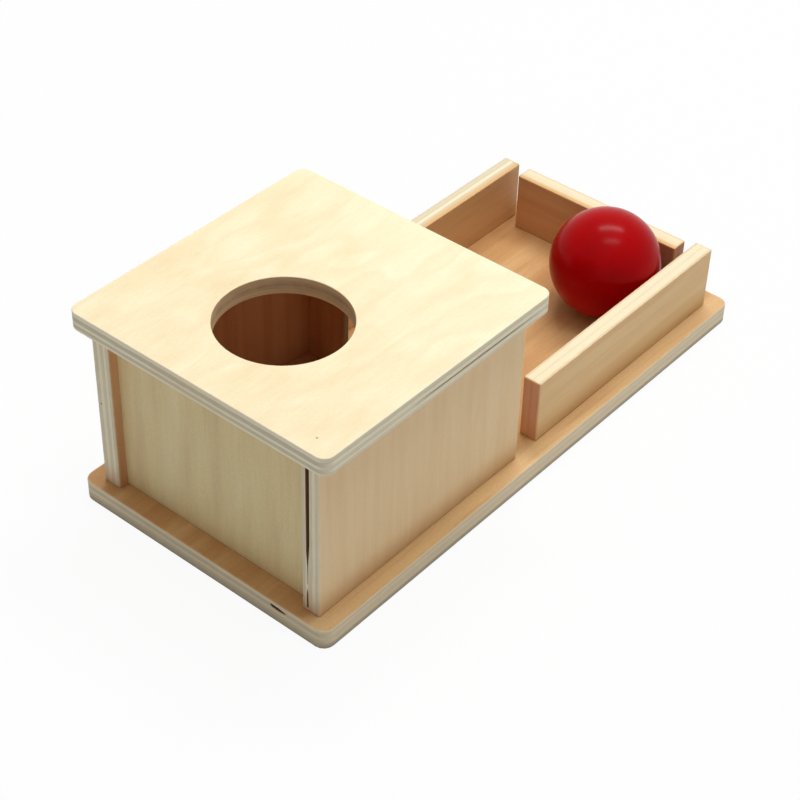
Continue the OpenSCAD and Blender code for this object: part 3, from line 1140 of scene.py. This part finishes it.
class BOX_OT_ramp(Operator):
    """Finish the ramp board and its batten"""
    bl_idname = "permanence_box.ramp"
    bl_label = "Ramp"

    def execute(self, context):
        shape = context.scene.box_shape
        inner = tones_of("inner")
        low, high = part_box("ramp_board")
        fall = Vector((math.cos(shape.ramp_slope), 0, -math.sin(shape.ramp_slope)))
        inward = Vector((-math.sin(shape.ramp_slope), 0, -math.cos(shape.ramp_slope)))
        start = Vector((low.x + shape.ramp_thickness * math.sin(shape.ramp_slope), low.y, high.z))
        sheet = Sheet(low, high, fall, inward, start, shape.ramp_thickness)
        look = Look(plies=3, flame=0.2, streak=0.5)
        dress_node("ramp_board", plywood("ramp plywood", sheet, inner, inner, (0.15, 0.55), look))
        sheet = sheet_of("ramp_batten", Y, X)
        dress_node("ramp_batten", plywood("batten plywood", sheet, inner, inner, (0.35, 0.75)))
        return {"FINISHED"}


class BOX_OT_ball(Operator):
    """Model the turned and painted ball"""
    bl_idname = "permanence_box.ball"
    bl_label = "Ball"

    def execute(self, context):
        ball = context.scene.box_ball
        low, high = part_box("ball")
        centre, radius = (low + high) / 2, (high.z - low.z) / 2
        tilt = math.asin(ball.pole_flat / radius)
        bm = bmesh.new()
        start = bm.verts.new((radius * math.cos(tilt), 0, radius * math.sin(tilt)))
        bmesh.ops.spin(
            bm, geom=[start], cent=(0, 0, 0), axis=(0, -1, 0), angle=math.pi - 2 * tilt,
            steps=ball.ring_steps // 2)
        profile = list(bm.verts) + list(bm.edges)
        bmesh.ops.spin(
            bm, geom=profile, cent=(0, 0, 0), axis=(1, 0, 0), angle=2 * math.pi, steps=ball.ring_steps,
            use_merge=True)
        bmesh.ops.remove_doubles(bm, verts=bm.verts, dist=SAME)
        bmesh.ops.holes_fill(bm, edges=bm.edges, sides=0)
        bmesh.ops.translate(bm, vec=centre, verts=bm.verts)
        finish_piece(bm, "ball_turned", "ball", "ball_paint", ball_paint(ball, centre), "ball")
        return {"FINISHED"}


class BOX_OT_fasteners(Operator):
    """Finish the screws and the dowels"""
    bl_idname = "permanence_box.fasteners"
    bl_label = "Screws and dowels"

    def execute(self, context):
        veneer = context.scene.box_veneer
        zinc, beech = screw_zinc(veneer), dowel_wood(veneer)
        for node in FASTENER_ROWS:
            dress_node(node, zinc)
        for node in ("lid_dowels_near", "lid_dowels_far"):
            dress_node(node, beech)
        return {"FINISHED"}


class BOX_OT_stage(Operator):
    """Set up the camera, the lamps, the room and the floor"""
    bl_idname = "permanence_box.stage"
    bl_label = "Stage"

    def execute(self, context):
        stage = context.scene.box_stage
        context.scene.view_settings.view_transform = "Standard"
        self.camera(context, stage)
        self.lamps(stage)
        self.room(context, stage)
        self.floor(stage)
        return {"FINISHED"}

    def camera(self, context, stage):
        """Camera at the photograph's angle."""
        data = bpy.data.cameras.new("studio camera")
        data.lens = stage.lens
        data.sensor_width = SENSOR_WIDTH
        camera = add_object("studio camera", data)
        place, target = Vector(stage.camera_place), Vector(stage.camera_target)
        turn = (target - place).to_track_quat("-Z", "Y").to_matrix()
        roll = Matrix.Rotation(stage.camera_roll, 3, "Z")
        camera.matrix_world = Matrix.Translation(place) @ (turn @ roll).to_4x4()
        context.scene.camera = camera

    def lamps(self, stage):
        """Two long soft lamps overhead, where the ball's highlights show them."""
        low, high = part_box("ball")
        middle = (low + high) / 2
        for name, power, (east, north), (length, width) in LAMPS:
            data = bpy.data.lights.new(name, "AREA")
            data.shape = "RECTANGLE"
            data.size = length * stage.lamp_height
            data.size_y = width * stage.lamp_height
            data.energy = getattr(stage, power)
            away = Vector((east, north, 1))
            depth = away.normalized()
            side = (LAMP_WAY - depth * LAMP_WAY.dot(depth)).normalized()
            turn = Matrix((side, depth.cross(side), depth)).transposed()
            place = middle + away * stage.lamp_height
            add_object(name, data).matrix_world = Matrix.Translation(place) @ turn.to_4x4()

    def room(self, context, stage):
        """White to the camera, to glossy surfaces and to glass, and a soft light from above on the rest."""
        world = bpy.data.worlds.new("studio room")
        context.scene.world = world
        world.use_nodes = True
        tree = world.node_tree
        height = split(values_of(add_node(tree, "ShaderNodeTexCoord"))["Generated"])["Z"]
        light = remap(height, SKY_START, 1.0, stage.sky_low, stage.sky_high, smooth=True)
        fill(tree.nodes["Background"], {
            "Color": (1, 1, 1, 1), "Strength": maths("MAXIMUM", light, self.seen(tree))})

    def seen(self, tree):
        """Whether a ray comes from the camera, from a reflection or through glass."""
        path = values_of(add_node(tree, "ShaderNodeLightPath"))
        direct = maths("MAXIMUM", path["Is Camera Ray"], path["Is Glossy Ray"])
        return maths("MAXIMUM", direct, path["Is Transmission Ray"])

    def floor(self, stage):
        """Plain pale floor that keeps a little of the object's shadow."""
        bm = bmesh.new()
        bmesh.ops.create_grid(bm, x_segments=1, y_segments=1, size=FLOOR_HALF)
        bmesh.ops.translate(bm, vec=(0, 0, CAD_BOX[0].z), verts=bm.verts)
        floor = add_object("studio_floor", mesh_from(bm, "studio floor", self.paper(stage)))

    def paper(self, stage):
        """Pale matt paper, nearly plain white to the camera."""
        material, shader = new_material("floor paper")[:2]
        tree = material.node_tree
        albedo = stage.floor_albedo
        fill(shader, {"Base Color": (albedo, albedo, albedo, 1), "Roughness": 0.9, "Specular IOR Level": 0})
        white = add_node(tree, "ShaderNodeEmission", {"Color": (1, 1, 1, 1), "Strength": 1.0})
        mix = add_node(tree, "ShaderNodeMixShader", {
            0: self.seen(tree) * stage.floor_white,
            1: Value(shader.outputs["BSDF"]),
            2: Value(white.outputs["Emission"])})
        fill(tree.nodes["Material Output"], {"Surface": Value(mix.outputs["Shader"])})
        return material


class BOX_PT_sidebar(Panel):
    """Makers of the box's pieces"""
    bl_idname = "BOX_PT_sidebar"
    bl_label = "Object permanence box"
    bl_space_type = "VIEW_3D"
    bl_region_type = "UI"
    bl_category = "Box"

    def draw(self, context):
        for maker in MAKERS:
            self.layout.operator(maker.bl_idname)
        for group in settings(context):
            for name in group.bl_rna.properties.keys():
                if name not in {"rna_type", "name"}:
                    self.layout.prop(group, name)


MAKERS = (
    BOX_OT_effects, BOX_OT_base, BOX_OT_sides, BOX_OT_panels, BOX_OT_lid, BOX_OT_tray,
    BOX_OT_ramp, BOX_OT_ball, BOX_OT_fasteners, BOX_OT_stage,
)
GROUPS = {
    "box_shape": ShapeSettings,
    "box_veneer": VeneerSettings,
    "box_ball": BallSettings,
    "box_stage": StageSettings,
}


def register():
    """Registers the settings, the makers and the sidebar."""
    for name, group in GROUPS.items():
        bpy.utils.register_class(group)
        setattr(bpy.types.Scene, name, PointerProperty(type=group))
    for maker in MAKERS:
        bpy.utils.register_class(maker)
    bpy.utils.register_class(BOX_PT_sidebar)


def unregister():
    """Removes what register added."""
    bpy.utils.unregister_class(BOX_PT_sidebar)
    for maker in reversed(MAKERS):
        bpy.utils.unregister_class(maker)
    for name, group in GROUPS.items():
        delattr(bpy.types.Scene, name)
        bpy.utils.unregister_class(group)


def main():
    """Makes every piece and the stage."""
    register()
    makers = bpy.ops.permanence_box
    makers.effects()
    makers.base()
    makers.sides()
    makers.panels()
    makers.lid()
    makers.tray()
    makers.ramp()
    makers.ball()
    makers.fasteners()
    makers.stage()


if __name__ == "__main__":
    main()
